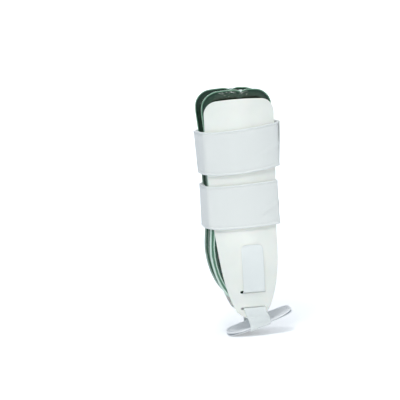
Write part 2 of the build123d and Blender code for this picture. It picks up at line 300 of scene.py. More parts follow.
def cell_film():
    """Glossy clear film painted very dark green: partly its tint, partly painted shade of the
    hollow seen through it. Paler where two films are welded together, and there partly a painted
    highlight on the lit flange edge, painted paler low down than at the top.
    """
    shader = Shader("cell_film", Roughness=0.06, Coat_Weight=0.4, Coat_Roughness=0.04,
                    Specular_IOR_Level=0.35)
    cloth = shader.coordinates("cloth")
    place = shader.coordinates()
    split = shader.node("ShaderNodeSeparateXYZ")
    shader.link(cloth, split.inputs[0])
    depth = shader.math("DIVIDE", split.outputs["Y"], 12.0)
    wobble = shader.math("MULTIPLY", shader.noise(place, 0.22), 0.08)
    depth = shader.math("ADD", depth, wobble)
    # painted highlight and shade on the lower rim: the pale mint weld lines stand for the lit
    # flange edge (partly the paler double film), and the dark band between them and the near-black
    # green further in are partly painted shade of the gap behind the film
    rim_lit_low = shader.ramp(depth, (
        (0.17, (0.62, 0.78, 0.68)),
        (0.24, (0.06, 0.17, 0.10)),
        (0.38, (0.10, 0.25, 0.15)),
        (0.42, (0.60, 0.76, 0.66)),
        (0.46, (0.58, 0.72, 0.62)),
        (0.50, (0.035, 0.10, 0.06)),
        (0.70, (0.008, 0.024, 0.014)),
    ))
    # the upper rim: a dimmer mid-green weld line and near-black green, painted less lit than the
    # lower rim and partly painted shade of the hollow behind the film
    rim_dim_high = shader.ramp(depth, (
        (0.03, (0.34, 0.54, 0.40)),
        (0.13, (0.08, 0.20, 0.12)),
        (0.20, (0.010, 0.028, 0.016)),
        (0.34, (0.016, 0.045, 0.026)),
        (0.60, (0.024, 0.055, 0.030)),
        (0.80, (0.020, 0.035, 0.020)),
    ))
    # painted light by height: the film goes from the lit lower rim colours to the dimmer upper ones
    # between 120 and 215 mm up
    height = shader.node("ShaderNodeSeparateXYZ")
    shader.link(place, height.inputs[0])
    upper = shader.node("ShaderNodeMapRange")
    upper.inputs["From Min"].default_value = 120.0
    upper.inputs["From Max"].default_value = 215.0
    shader.link(height.outputs["Z"], upper.inputs["Value"])
    mix = shader.node("ShaderNodeMixRGB")
    shader.link(upper.outputs["Result"], mix.inputs["Fac"])
    shader.link(rim_lit_low, mix.inputs["Color1"])
    shader.link(rim_dim_high, mix.inputs["Color2"])
    shader.link(mix.outputs["Color"], shader.surface.inputs["Base Color"])
    shader.roughness(shader.noise(place, 0.3, 2.0), 0.03, 0.09)
    shader.bump(shader.noise(place, 0.14, 1.0), 0.6, 2.4)
    shader.bump(shader.noise(place, 0.5, 1.0), 0.25, 0.35)
    return shader.material


def foam():
    """Open-cell foam, dark grey-green."""
    shader = Shader("foam", Roughness=0.95)
    place = shader.coordinates()
    cells = shader.voronoi(place, 0.9)
    shader.colour(cells, ((0.1, (0.10, 0.15, 0.12)), (0.6, (0.20, 0.27, 0.23))))
    shader.bump(cells, 0.8, 0.6)
    return shader.material


def pad_cover():
    """Smooth knitted cover over the heel pad's foam."""
    shader = Shader("pad_cover", Roughness=0.85, Sheen_Weight=0.35, Sheen_Roughness=0.5)
    cloth = shader.coordinates()
    knit = shader.waves(cloth, 0.45, "X", 1.5)
    row = shader.waves(cloth, 0.45, "Y", 1.5)
    shader.colour(shader.noise(cloth, 0.9, 5.0),
                  ((0.3, (0.89, 0.91, 0.925)), (0.7, (0.965, 0.97, 0.975))))
    shader.bump(knit, 0.35, 0.2)
    shader.bump(row, 0.35, 0.2)
    return shader.material


def plain_plastic(name, light, dark, roughness):
    """Plain moulded plastic for small fittings."""
    shader = Shader(name, Roughness=roughness, Coat_Weight=0.1)
    place = shader.coordinates()
    shader.colour(shader.noise(place, 0.3, 4.0), ((0.3, dark), (0.7, light)))
    shader.bump(shader.noise(place, 1.2, 3.0), 0.15, 0.1)
    shader.roughness(shader.noise(place, 0.6), roughness - 0.06, roughness + 0.08)
    return shader.material


def thread():
    """Twisted polyester sewing thread."""
    shader = Shader("thread", Roughness=0.6, Sheen_Weight=0.2)
    place = shader.coordinates()
    twist = shader.waves(place, 1.6, "DIAGONAL")
    shader.colour(twist, ((0.2, (0.74, 0.79, 0.85)), (0.8, (0.92, 0.94, 0.96))))
    shader.bump(twist, 0.5, 0.1)
    return shader.material


MATERIALS = {
    "shell_plastic": shell_plastic(),
    "strap_loop": loop_fabric(),
    "webbing": webbing(),
    "hook_tape": hook_tape(),
    "cell_film": cell_film(),
    "foam": foam(),
    "pad_cover": pad_cover(),
    "plate_plastic": plain_plastic("plate_plastic", (0.90, 0.91, 0.92), (0.82, 0.84, 0.86), 0.5),
    "valve_plastic": plain_plastic("valve_plastic", (0.74, 0.82, 0.78), (0.62, 0.72, 0.67), 0.35),
    "thread": thread(),
}


# ---- mesh building -------------------------------------------------------------------------
def make_mesh(name, points, faces, material, cloth=None):
    """A smooth-shaded mesh object from points in millimetres."""
    mesh = bpy.data.meshes.new(name)
    mesh.from_pydata([tuple(Vector(point) * MM) for point in points], [], faces)
    mesh.materials.append(MATERIALS[material])
    mesh.shade_smooth()
    if cloth is not None:
        layer = mesh.attributes.new("cloth", "FLOAT_VECTOR", "POINT")
        layer.data.foreach_set("vector", [number for place in cloth for number in place])
    mesh.validate()
    piece = bpy.data.objects.new(name, mesh)
    bpy.context.scene.collection.objects.link(piece)
    return piece


def sheet_profile(width, thickness, hem=0.0, rise=0.0, columns=18):
    """Offsets across a strap: (distance from its lower edge, underside lift, upper-side lift)."""
    edge = thickness / 2
    marks = [0.0, edge * 0.35, edge * 1.2]
    if hem:
        marks += [hem * 0.72, hem, hem + 0.35, hem + 0.9]
    inner_start = marks[-1]
    middle = [lerp(inner_start, width - inner_start, step / columns) for step in range(1, columns)]
    across = marks + middle + [width - mark for mark in reversed(marks)]
    rows = []
    for distance in across:
        from_edge = min(distance, width - distance)
        roll = math.sqrt(max(0.0, 1 - (1 - min(1.0, from_edge / edge)) ** 2))
        lift = thickness
        if hem:
            lift += rise * (1 - smooth((from_edge - hem * 0.72) / (hem * 0.28)))
            groove = max(0.0, 1 - abs(from_edge - (hem + 0.35)) / 0.5)
            lift -= 0.22 * groove
        middle_lift = thickness / 2
        rows.append((distance, lerp(middle_lift, 0.0, roll), lerp(middle_lift, lift, roll)))
    return rows


def make_sheet(name, stations, surface, profile, material):
    """A strap: surface(station, distance) gives a point and a normal on its underside."""
    points, cloth, faces = [], [], []
    width = profile[-1][0]
    around = 2 * len(profile)
    run = 0.0
    previous = None
    for station in stations:
        middle = surface(station, width / 2)[0]
        if previous is not None:
            run += (middle - previous).length
        previous = middle
        under, over = [], []
        for distance, low, high in profile:
            point, normal = surface(station, distance)
            under.append(point + normal * low)
            over.append(point + normal * high)
        points += under + over[::-1]
        distances = [row[0] for row in profile]
        cloth += [(run, distance, 0.0) for distance in distances + distances[::-1]]
    last = len(stations) - 1
    for i in range(last):
        for j in range(around):
            k = (j + 1) % around
            a, b = i * around, (i + 1) * around
            faces.append((a + j, a + k, b + k, b + j))
    for i, flip in ((0, True), (last, False)):
        base = i * around
        for j in range(len(profile) - 1):
            face = (base + j, base + j + 1, base + around - 2 - j, base + around - 1 - j)
            faces.append(face[::-1] if flip else face)
    return make_mesh(name, points, faces, material, cloth)


def fix_normals(piece):
    """Turn every face outwards."""
    work = bmesh.new()
    work.from_mesh(piece.data)
    bmesh.ops.recalc_face_normals(work, faces=work.faces)
    work.to_mesh(piece.data)
    work.free()


def round_path(corners, radii):
    """A path through corners, each rounded by its own radius."""
    points = []
    for index, corner in enumerate(corners):
        corner = Vector(corner)
        if index in (0, len(corners) - 1) or radii[index] <= 0:
            points.append(corner)
            continue
        before = Vector(corners[index - 1]) - corner
        after = Vector(corners[index + 1]) - corner
        reach = min(radii[index], before.length * 0.48, after.length * 0.48)
        start = corner + before.normalized() * reach
        end = corner + after.normalized() * reach
        for part in range(9):
            t = part / 8
            points.append(start * (1 - t) ** 2 + corner * 2 * t * (1 - t) + end * t**2)
    return points


def resample(points, count):
    """The same path as count points, evenly spaced along its length."""
    lengths = [0.0]
    for a, b in zip(points, points[1:]):
        lengths.append(lengths[-1] + (b - a).length)
    result = []
    segment = 0
    for index in range(count):
        target = lengths[-1] * index / (count - 1)
        while segment < len(points) - 2 and lengths[segment + 1] < target:
            segment += 1
        span = lengths[segment + 1] - lengths[segment]
        share = (target - lengths[segment]) / span if span > 1e-9 else 0.0
        result.append(points[segment].lerp(points[segment + 1], min(1.0, max(0.0, share))))
    return result


# ---- stitching -----------------------------------------------------------------------------
def make_stitches(name, places):
    """Short raised threads. places holds (middle, direction, normal) for each stitch."""
    points, faces = [], []
    sides, rings = 6, 5
    for middle, direction, normal in places:
        side = direction.cross(normal).normalized()
        base = len(points)
        for ring in range(rings):
            t = ring / (rings - 1)
            along = (t - 0.5) * STITCH_LENGTH
            swell = math.sin(math.pi * (0.12 + 0.76 * t))
            radius = STITCH_RADIUS * swell
            rise = 0.12 * swell
            centre = middle + direction * along + normal * rise
            for corner in range(sides):
                angle = 2 * math.pi * corner / sides
                points.append(centre + side * radius * math.cos(angle)
                              + normal * radius * math.sin(angle))
        for ring in range(rings - 1):
            for corner in range(sides):
                a = base + ring * sides + corner
                b = base + ring * sides + (corner + 1) % sides
                faces.append((a, b, b + sides, a + sides))
        faces.append(tuple(base + corner for corner in reversed(range(sides))))
        faces.append(tuple(base + (rings - 1) * sides + corner for corner in range(sides)))
    piece = make_mesh(name, points, faces, "thread")
    fix_normals(piece)
    return piece


def stitch_row(surface, stations, distance, lift):
    """Stitch places along a strap at one distance from its lower edge."""
    path = []
    for station in stations:
        point, normal = surface(station, distance)
        path.append((point + normal * lift, normal))
    places = []
    walked = 0.0
    for (a, normal_a), (b, _) in zip(path, path[1:]):
        length = (b - a).length
        while walked < length:
            direction = (b - a).normalized()
            places.append((a + direction * walked, direction, normal_a))
            walked += STITCH_PITCH
        walked -= length
    return places


# ---- wrap straps ---------------------------------------------------------------------------
def wrap_strap(band, side):
    """One half of a wrap strap: tucked end, panel over the shell, and the flap that peels."""
    sign = 1 if side == "medial" else -1
    flap_end = "front" if side == "medial" else "rear"
    flap_node = f"{band}_{flap_end}_flap"
    panel_node = f"{band}_{side}_panel"
    front_low, front_high = box_mm(f"{band}_front_flap")
    rear_low, rear_high = box_mm(f"{band}_rear_flap")
    panel_low, panel_high = box_mm(panel_node)
    front_edge = front_low.x + FOLD_MARGIN
    rear_edge = rear_high.x - FOLD_MARGIN
    if flap_end == "front":
        front_plane = front_high.x - STRAP_THICKNESS
        rear_plane = panel_low.x + STRAP_THICKNESS
    else:
        front_plane = panel_high.x - STRAP_THICKNESS
        rear_plane = rear_low.x + STRAP_THICKNESS

    def edges(x):
        """Lower and upper edge of the strap at a forward place."""
        share = (x - rear_edge) / (front_edge - rear_edge)
        sag = max(0.0, 4 * share * (1 - share))
        rise = SHIN_RISE * smooth((share - 0.86) / 0.3)
        low_sag, high_sag = SAGS[band]
        low = lerp(rear_low.z, front_low.z, share) - low_sag * sag + rise
        high = lerp(rear_high.z, front_high.z, share) - high_sag * sag + rise
        return low, high

    middle_low, middle_high = edges((front_edge + rear_edge) / 2)
    width = middle_high - middle_low
    count = 150

    front_taper, rear_taper = TAPERS[band]

    def plan(z):
        """The strap's underside in plan at one height, from the calf round to the shin."""
        down = min(1.0, max(0.0, (front_high.z - z) / (front_high.z - front_low.z)))
        shin = front_plane + lerp(*front_taper, down)
        calf = rear_plane + lerp(*rear_taper, down)
        rear_y = face_y(rear_edge, z) + STRAP_LIFT
        front_y = face_y(front_edge, z) + STRAP_LIFT
        side_points = []
        for step in range(13):
            x = lerp(rear_edge + 4, front_edge - 4, step / 12)
            side_points.append((x, face_y(x, z) + STRAP_LIFT))
        corners = [(calf, -TIP_Y), (calf, STRAIGHT_Y), (rear_edge - EDGE_OUT, rear_y - EDGE_IN)]
        radii = [0, TURN_RADIUS, EDGE_RADIUS]
        corners += side_points
        radii += [FACE_RADIUS] * len(side_points)
        corners += [(front_edge + EDGE_OUT, front_y - EDGE_IN), (shin, STRAIGHT_Y), (shin, -TIP_Y)]
        radii += [EDGE_RADIUS, TURN_RADIUS, 0]
        return resample(round_path(corners, radii), count)

    levels = 9
    z_base = min(front_low.z, rear_low.z) - 2
    z_top = max(front_high.z, rear_high.z) + 2
    plans = [plan(lerp(z_base, z_top, level / (levels - 1))) for level in range(levels)]

    def plan_point(index, z):
        place = (z - z_base) / (z_top - z_base) * (levels - 1)
        level = min(levels - 2, max(0, int(place)))
        return plans[level][index].lerp(plans[level + 1][index], place - level)

    def surface(index, distance):
        z = lerp(z_base, z_top, 0.5)
        for _ in range(2):
            flat = plan_point(index, z)
            low, high = edges(flat.x)
            z = low + distance / width * (high - low)
        flat = plan_point(index, z)
        before = plan_point(max(0, index - 1), z)
        after = plan_point(min(count - 1, index + 1), z)
        along = (after - before).normalized()
        normal = Vector((-along.y, along.x, 0.0))
        on_shell = smooth((flat.y - STRAIGHT_Y - 4) / 6)
        ripple = noise.noise(Vector((index * 0.11, z * 0.05, 3.0 * sign))) * RIPPLE_HEIGHT
        ripple *= on_shell
        across = flat.x * CREASE_SLOPE + (distance - width * CREASE_SHARE)
        crease = CREASE_HEIGHT * math.exp(-((across / CREASE_WIDTH) ** 2))
        crease *= smooth((CREASE_END - flat.x) / CREASE_FADE)
        point = Vector((flat.x, flat.y, z)) + normal * (ripple + (0.12 + crease) * on_shell)
        return Vector((point.x, sign * point.y, point.z)), Vector((normal.x, sign * normal.y, 0.0))

    profile = sheet_profile(width, STRAP_THICKNESS, HEM, HEM_RISE)
    stations = range(count)
    name = f"{band}_{side}"
    strap = make_sheet(f"{name}_band", stations, surface, profile, "strap_loop")
    fix_normals(strap)

    hem_line = HEM * 0.45
    lift = STRAP_THICKNESS + HEM_RISE
    places = stitch_row(surface, stations, hem_line, lift)
    places += stitch_row(surface, stations, width - hem_line, lift)
    tip = count - 1 if flap_end == "front" else 0
    inward = -1 if flap_end == "front" else 1
    for row in (3, 6):
        index = tip + inward * row
        distance = HEM + 1.5
        while distance < width - HEM - 1.5:
            point, normal = surface(index, distance)
            places.append((point + normal * STRAP_THICKNESS, Vector((0, 0, 1)), normal))
            distance += STITCH_PITCH
    stitches = make_stitches(f"{name}_stitching", places)

    tab_rows = [(d, -TAB_THICKNESS, -0.02) for d in (3.0, 3.4, 8.0, width / 2, width - 8.0,
                                                     width - 3.4, width - 3.0)]
    tab_stations = [i for i in stations if abs(plan_point(i, (z_base + z_top) / 2).y) < TAB_REACH
                    and (i > count / 2) == (flap_end == "front")]
    tab_name = f"{band}_{flap_end}_tab"
    tab = make_sheet(f"{tab_name}_hooks", tab_stations, surface, tab_rows, "hook_tape")
    fix_normals(tab)
    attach(tab, flap_node.replace("_strap", ""))
    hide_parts(tab_name)

    for piece in (strap, stitches):
        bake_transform(piece)
    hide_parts(panel_node, flap_node)


for band in ("upper_strap", "lower_strap"):
    for side in ("medial", "lateral"):
        wrap_strap(band, side)


# ---- padded pouches: the air cells, their foam and the heel pad ------------------------------
OUTLINE_ANGLES = 260         # an outline is looked for at this many angles
POUCH_STEP = 2.4             # between points around a pouch
CLOTH_FRAMES = 20


def silhouette(node, flatten):
    """A CAD node's outline seen along one direction: the farthest place at each angle."""
    mesh = nodes[node].data
    flat = [flatten(vertex.co / MM) for vertex in mesh.vertices]
    low = Vector((min(p.x for p in flat), min(p.y for p in flat)))
    high = Vector((max(p.x for p in flat), max(p.y for p in flat)))
    centre = (low + high) / 2
    farthest = [None] * OUTLINE_ANGLES
    reach = [0.0] * OUTLINE_ANGLES
    for edge in mesh.edges:
        start, end = (flat[index] for index in edge.vertices)
        steps = max(1, int((end - start).length))
        for step in range(steps + 1):
            ray = start.lerp(end, step / steps) - centre
            turn = (math.atan2(ray.y, ray.x) / (2 * math.pi)) % 1.0
            place = int(turn * OUTLINE_ANGLES) % OUTLINE_ANGLES
            if ray.length > reach[place]:
                reach[place] = ray.length
                farthest[place] = centre + ray
    found = [point for point in farthest if point is not None]
    before = found[-1:] + found
    after = found[1:] + found[:1]
    return [(a + b * 2 + c) / 4 for a, b, c in zip(before, found, after)]


def inward_rings(outline, spine_low, spine_high, depths):
    """Rings of the outline at distances from its edge, drawn in towards a spine."""
    spine = spine_high - spine_low
    rings = []
    for depth in depths:
        ring = []
        for point in outline:
            share = (point - spine_low).dot(spine) / spine.length_squared
            foot = spine_low + spine * min(1.0, max(0.0, share))
            reach = (point - foot).length
            ring.append(foot + (point - foot) * max(0.06, 1 - depth / reach))
        rings.append(ring)
    return rings


def make_pouch(name, outline, spine, depths, place, front_lift, back_lift, material):
    """A closed pouch. place(flat point, lift) gives its place in space, and the lifts say how far
    the front and the back stand at each distance from the edge."""
    closed = outline + outline[:1]
    count = int(sum((b - a).length for a, b in zip(closed, closed[1:])) / POUCH_STEP)
    outline = resample(closed, count + 1)[:-1]
    rings = inward_rings(outline, *spine, depths)
    points, cloth = [], []
    for lift in (front_lift, back_lift):
        for ring, depth in zip(rings, depths):
            for index, flat in enumerate(ring):
                points.append(place(flat, lift(depth, index / count, flat)))
                cloth.append((index * POUCH_STEP, depth, 0.0))
    faces = []
    layer = len(depths) * count
    for i in range(len(depths) - 1):
        for j in range(count):
            k = (j + 1) % count
            a, b = i * count, (i + 1) * count
            faces.append((a + j, a + k, b + k, b + j))
            faces.append((layer + b + j, layer + b + k, layer + a + k, layer + a + j))
    for j in range(count):
        k = (j + 1) % count
        faces.append((layer + j, layer + k, k, j))
    middle_front = [layer - count + j for j in range(count)]
    middle_back = [index + layer for index in middle_front]
    faces += [middle_front, middle_back[::-1]]
    piece = make_mesh(name, points, faces, material, cloth)
    work = bmesh.new()
    work.from_mesh(piece.data)
    wide = [face for face in work.faces if len(face.verts) > 4]
    bmesh.ops.triangulate(work, faces=wide)
    bmesh.ops.recalc_face_normals(work, faces=work.faces)
    work.to_mesh(piece.data)
    work.free()
    piece.data.shade_smooth()
    return piece


def inflate(piece, pinned_depth, pressure, cap_mm):
    """Swell a pouch as cloth, its edge held and every point kept within cap_mm of its start."""
    start = [vertex.co.copy() for vertex in piece.data.vertices]
    depth = piece.data.attributes["cloth"].data
    held = piece.vertex_groups.new(name="held")
    held.add([i for i, place in enumerate(depth) if place.vector.y <= pinned_depth], 1.0, "REPLACE")
    cloth = piece.modifiers.new("Cloth", "CLOTH")
    cloth.settings.quality = 6
    cloth.settings.mass = 0.15
    cloth.settings.tension_stiffness = 12
    cloth.settings.compression_stiffness = 6
    cloth.settings.shear_stiffness = 4
    cloth.settings.bending_stiffness = 0.08
    cloth.settings.use_pressure = True
    cloth.settings.uniform_pressure_force = pressure
    cloth.settings.shrink_min = -0.06
    cloth.settings.vertex_group_mass = "held"
    cloth.settings.effector_weights.gravity = 0
    scene = bpy.context.scene
    for step in range(1, CLOTH_FRAMES + 1):
        scene.frame_set(step)
    result = piece.evaluated_get(bpy.context.evaluated_depsgraph_get())
    moved = [vertex.co.copy() for vertex in result.data.vertices]
    piece.modifiers.remove(cloth)
    scene.frame_set(1)
    cap = cap_mm * MM
    for vertex, before, after in zip(piece.data.vertices, start, moved):
        step = after - before
        if step.length > cap:
            step *= cap / step.length
        vertex.co = before + step
    piece.vertex_groups.remove(held)


def relax(piece, from_depth, rounds):
    """Even out the middle of a pouch, where its faces are long and thin."""
    depth = [place.vector.y for place in piece.data.attributes["cloth"].data]
    work = bmesh.new()
    work.from_mesh(piece.data)
    work.verts.ensure_lookup_table()
    inner = [vertex for vertex in work.verts if depth[vertex.index] >= from_depth]
    for _ in range(rounds):
        bmesh.ops.smooth_vert(work, verts=inner, factor=0.5, use_axis_x=True, use_axis_y=True,
                              use_axis_z=True)
    work.to_mesh(piece.data)
    work.free()


def subdivide(piece):
    """One applied subdivision."""
    modifier = piece.modifiers.new("Subdivision", "SUBSURF")
    modifier.levels = 1
    modifier.render_levels = 1
    result = piece.evaluated_get(bpy.context.evaluated_depsgraph_get())
    mesh = bpy.data.meshes.new_from_object(result)
    piece.modifiers.remove(modifier)
    piece.data = mesh


def side_view(point):
    return Vector((point.x, point.z))


def air_cell(side):
    """A welded film bladder: a flat rim, then a pillow that swells towards the ankle."""
    sign = 1 if side == "medial" else -1
    node = f"{side}_air_cell"
    low, high = box_mm(node)
    stem_low, stem_high = box_mm(f"{side}_valve_stem")
    valve_x = (stem_low.x + stem_high.x) / 2
    middle_x = (low.x + high.x) / 2
    spine = (Vector((middle_x - 2, low.z + 36)), Vector((middle_x, high.z - 38)))
    seed = 11.0 * sign

    outline = []
    for flat in silhouette(node, side_view):
        notch = math.exp(-(((flat.x - valve_x) / 3.6) ** 2)) if flat.y > high.z - 20 else 0.0
        outline.append(Vector((flat.x, flat.y - VALVE_NOTCH * notch)))

    def around_noise(around, cycles, shift):
        angle = 2 * math.pi * around
        return noise.noise(Vector((math.cos(angle) * cycles, math.sin(angle) * cycles, shift)))

    def pucker(depth, around):
        """Radial creases where the film is gathered at the weld."""
        near_weld = math.exp(-(((depth - CELL_RIM - 3.0) / 5.5) ** 2))
        return (around_noise(around, 13, seed) * 1.9
                + around_noise(around, 34, seed + 5) * 1.3) * near_weld

    def tube(flat):
        """How much the film stands up over the valve's stem."""
        if flat.y < stem_low.z - 4:
            return 0.0
        return math.exp(-(((flat.x - valve_x) / 3.0) ** 2))

    def front(depth, around, flat):
        shoulder = min(1.0, max(0.0, (depth - CELL_RIM) / 15.0))
        crown = math.sqrt(1 - (1 - shoulder) ** 2)
        bead = 0.5 * math.exp(-(((depth - 1.0) / 0.9) ** 2))
        weld = -0.35 * math.exp(-(((depth - CELL_RIM + 0.6) / 0.7) ** 2))
        lift = 1.5 + bead + weld + CELL_SWELL * crown + pucker(depth, around)
        return CELL_BACK + max(lift, 4.6 * tube(flat))

    def rear(depth, around, flat):
        """The film also swells outwards where the shell doesn't cover it."""
        bulge = smooth((depth - 1.8) / 2.2) * (1 - smooth((depth - 7.0) / 6.0))
        fold = around_noise(around, 21, depth * 0.30 + seed)
        crease = around_noise(around, 52, depth * 0.25)
        return CELL_BACK - 0.05 - bulge * max(0.1, 1.5 + 1.5 * fold + 1.1 * crease)

    def place(flat, lift):
        return Vector((flat.x, sign * (face_y(flat.x, flat.y) - lift), flat.y))

    depths = [0.0, 0.35, 1.0, 1.8, 2.6, 3.4, 4.2, 5.2, 6.3, 7.0, 7.6, 8.6, 10, 12, 14.5, 17.5, 21,
              25, 30, 36]
    cell = make_pouch(f"{side}_cell_film", outline, spine, depths, place, front, rear, "cell_film")
    inflate(cell, CELL_RIM, 3.0, 1.8)
    relax(cell, 18.0, 14)
    subdivide(cell)
    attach(cell, f"{side}_shell")
    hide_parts(node)

    def foam_front(depth, around, flat):
        return 6.2 + 8.2 * math.sqrt(1 - (1 - min(1.0, depth / 9.0)) ** 2)

    def foam_back(depth, around, flat):
        return 6.2 - 0.4 * min(1.0, depth / 3.0)

    foam_node = f"{side}_foam_insert"
    core = make_pouch(f"{side}_foam_core", silhouette(foam_node, side_view), spine,
                      [0, 0.6, 1.6, 3, 5, 8, 12, 17, 22], place, foam_front, foam_back, "foam")
    inflate(core, 0.5, 2.0, 0.6)
    relax(core, 7.0, 10)
    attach(core, f"{side}_shell")
    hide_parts(foam_node)


for side in ("medial", "lateral"):
    air_cell(side)


# ---- heel pad ------------------------------------------------------------------------------
PAD_PITCH = math.radians(17.0)
PAD_FORWARD = Vector((math.cos(PAD_PITCH), 0, -math.sin(PAD_PITCH)))
PAD_UP = Vector((math.sin(PAD_PITCH), 0, math.cos(PAD_PITCH)))


def in_pad(point):
    """A point measured along the heel pad's own directions: forward, medial, up."""
    return Vector((point.dot(PAD_FORWARD), point.y, point.dot(PAD_UP)))


def from_pad(forward, medial, up):
    return PAD_FORWARD * forward + Vector((0, medial, 0)) + PAD_UP * up


def heel_pad():
    """The padded slab over the plate, with a bound edge and a line of stitches inside it."""
    foam_points = [in_pad(v.co / MM) for v in nodes["heel_pad_foam"].data.vertices]
    cover_points = [in_pad(v.co / MM) for v in nodes["heel_pad_cover"].data.vertices]
    outline = silhouette("heel_pad_foam", lambda point: in_pad(point).xy)
    bottom = min(p.z for p in foam_points)
    top = max(p.z for p in cover_points)
    middle = sum((p.x for p in (min(foam_points, key=lambda q: q.x),
                                max(foam_points, key=lambda q: q.x)))) / 2
    reach = max(p.x for p in foam_points) - middle
    spine = (Vector((middle - 12, 0)), Vector((middle + 12, 0)))
    binding = 3.4

    def dish(flat):
        """The pad cups the heel: its toe and heel ends curl up a little."""
        return 1.6 * (abs(flat.x - middle) / reach) ** 3

    def place(flat, lift):
        return from_pad(flat.x, flat.y, lift + dish(flat))

    def rounded(depth):
        return math.sqrt(1 - (1 - min(1.0, depth / 1.2)) ** 2)

    def front(depth, around, flat):
        groove = -0.55 * math.exp(-(((depth - binding) / 0.6) ** 2))
        crown = 0.9 * smooth((depth - binding) / 10)
        return lerp((bottom + top) / 2, top + 0.35, rounded(depth)) + groove + crown

    def back(depth, around, flat):
        return lerp((bottom + top) / 2, bottom, rounded(depth))

    depths = [0, 0.25, 0.7, 1.3, 2.1, 2.8, 3.4, 4.0, 4.8, 6, 8, 11, 15, 20, 26]
    pad = make_pouch("heel_pad_cushion", outline, spine, depths, place, front, back, "pad_cover")
    inflate(pad, binding, 1.5, 0.5)
    relax(pad, 8.0, 8)
    subdivide(pad)
    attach(pad, "heel_pad")
    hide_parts("heel_pad_foam", "heel_pad_cover")

    closed = outline + outline[:1]
    ring = inward_rings(resample(closed, 160)[:-1], *spine, [binding])[0]
    path = [place(flat, top + 0.15) for flat in ring]
    stitches = make_stitches("heel_pad_stitching", closed_stitches(path, PAD_UP))
    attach(stitches, "heel_pad")


def closed_stitches(path, normal):
    """Stitch places all the way round a closed path."""
    places = []
    walked = 0.0
    for a, b in zip(path, path[1:] + path[:1]):
        length = (b - a).length
        direction = (b - a).normalized()
        while walked < length:
            places.append((a + direction * walked, direction, normal))
            walked += STITCH_PITCH
        walked -= length
    return places


heel_pad()


# ---- heel strap ----------------------------------------------------------------------------
tail_low, tail_high = box_mm("medial_strap_tail")
run_low, run_high = box_mm("medial_strap_inner_run")
WEB_WIDTH = tail_high.x - tail_low.x
WEB_X = (tail_high.x + tail_low.x) / 2
WEB_HALF = WEBBING_THICKNESS / 2
LOWER_SLOT_Z = run_low.z + WEB_HALF
UPPER_SLOT_Z = run_high.z - WEB_HALF
SPLIT_Z = 14.5
LIP_Z = 12.7
TWIST_START = 4.0
TWIST_END = 18.0
SHIFT_START = 6.0


def web_station(y, z, along):
    """Middle, width direction and outward normal of the heel strap at one place on its path."""
    turn = smooth((z - TWIST_START) / (TWIST_END - TWIST_START))
    across = PAD_FORWARD.lerp(Vector((1, 0, 0)), turn).normalized()
    middle = Vector((WEB_X * smooth((z - SHIFT_START) / (LOWER_SLOT_Z - SHIFT_START)), y, z))
    normal = across.cross(along).normalized()
    return middle, across, normal


def web_surface(path, tip_radius=0.0):
    """surface() for make_sheet from a list of (y, z) places."""
    lengths = [0.0]
    for a, b in zip(path, path[1:]):
        lengths.append(lengths[-1] + (b - a).length)

    def surface(index, distance):
        before = path[max(0, index - 1)]
        after = path[min(len(path) - 1, index + 1)]
        along = Vector((0, after.x - before.x, after.y - before.y)).normalized()
        middle, across, normal = web_station(path[index].x, path[index].y, along)
        offset = distance - WEB_WIDTH / 2
        left = lengths[-1] - lengths[index]
        if tip_radius and left < tip_radius:
            cut = tip_radius - math.sqrt(tip_radius**2 - (tip_radius - left) ** 2)
            offset *= 1 - cut / (WEB_WIDTH / 2)
        sway = noise.noise(Vector((index * 0.13, distance * 0.08, 2.0))) * 0.12
        point = middle + across * offset + normal * (sway - WEB_HALF)
        return point, normal

    return surface


def web_piece(name, path, tip_radius=0.0):
    """One length of webbing with a stitched edge look."""
    surface = web_surface(path, tip_radius)
    profile = sheet_profile(WEB_WIDTH, WEBBING_THICKNESS, hem=1.6, rise=0.12, columns=14)
    piece = make_sheet(name, range(len(path)), surface, profile, "webbing")
    fix_normals(piece)
    return piece, surface


def side_path(sign):
    """Corners (y, z) from under the pad up to just above the split, on one side."""
    lip = face_y(ARC_X, LIP_Z) + 0.5 + WEB_HALF
    split = lip + (SPLIT_Z - LIP_Z) * slope_to_slot()
    return [(sign * 24.0, 0.6), (sign * 32.2, 0.6), (sign * 32.5, 6.2), (sign * lip, LIP_Z),
            (sign * split, SPLIT_Z)]


def slope_to_slot():
    """How far the shell's face moves outward for each mm up from its lip to the lower slot."""
    high_z = LOWER_SLOT_Z - 1.0
    return (face_y(ARC_X, high_z) - face_y(ARC_X, LIP_Z)) / (high_z - LIP_Z)


def heel_strap_base():
    """The strap under the pad and up both sides, as far as the shells' lips."""
    medial = side_path(1)
    lateral = side_path(-1)
    corners = lateral[::-1] + medial
    radii = [0, 2.0, 3.0, 3.0, 0, 0, 3.0, 3.0, 2.0, 0]
    path = resample(round_path(corners, radii), 110)
    piece, _ = web_piece("heel_strap_base", path)
    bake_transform(piece)
    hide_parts("stirrup_base", "medial_stirrup_side", "lateral_stirrup_side")


def heel_strap_threading(side):
    """From the lip in through the lower slot, up behind the shell and out at the upper slot."""
    sign = 1 if side == "medial" else -1
    entry_y = face_y(ARC_X, LOWER_SLOT_Z)
    exit_y = face_y(ARC_X, UPPER_SLOT_Z)
    lip, split = side_path(sign)[-2:]
    outside = entry_y + 0.5 + WEB_HALF
    behind = 2.6 + WEB_HALF
    corners = [
        split,
        (sign * outside, LOWER_SLOT_Z - 0.1),
        (sign * (entry_y - behind), LOWER_SLOT_Z + 0.1),
        (sign * (exit_y - behind), UPPER_SLOT_Z - 0.1),
        (sign * (exit_y - 1.4), UPPER_SLOT_Z),
    ]
    path = resample(round_path(corners, [0, 1.6, 1.2, 1.2, 0]), 60)
    piece, _ = web_piece(f"{side}_heel_strap_threading", path)
    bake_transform(piece)
    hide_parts(f"{side}_strap_inner_run")


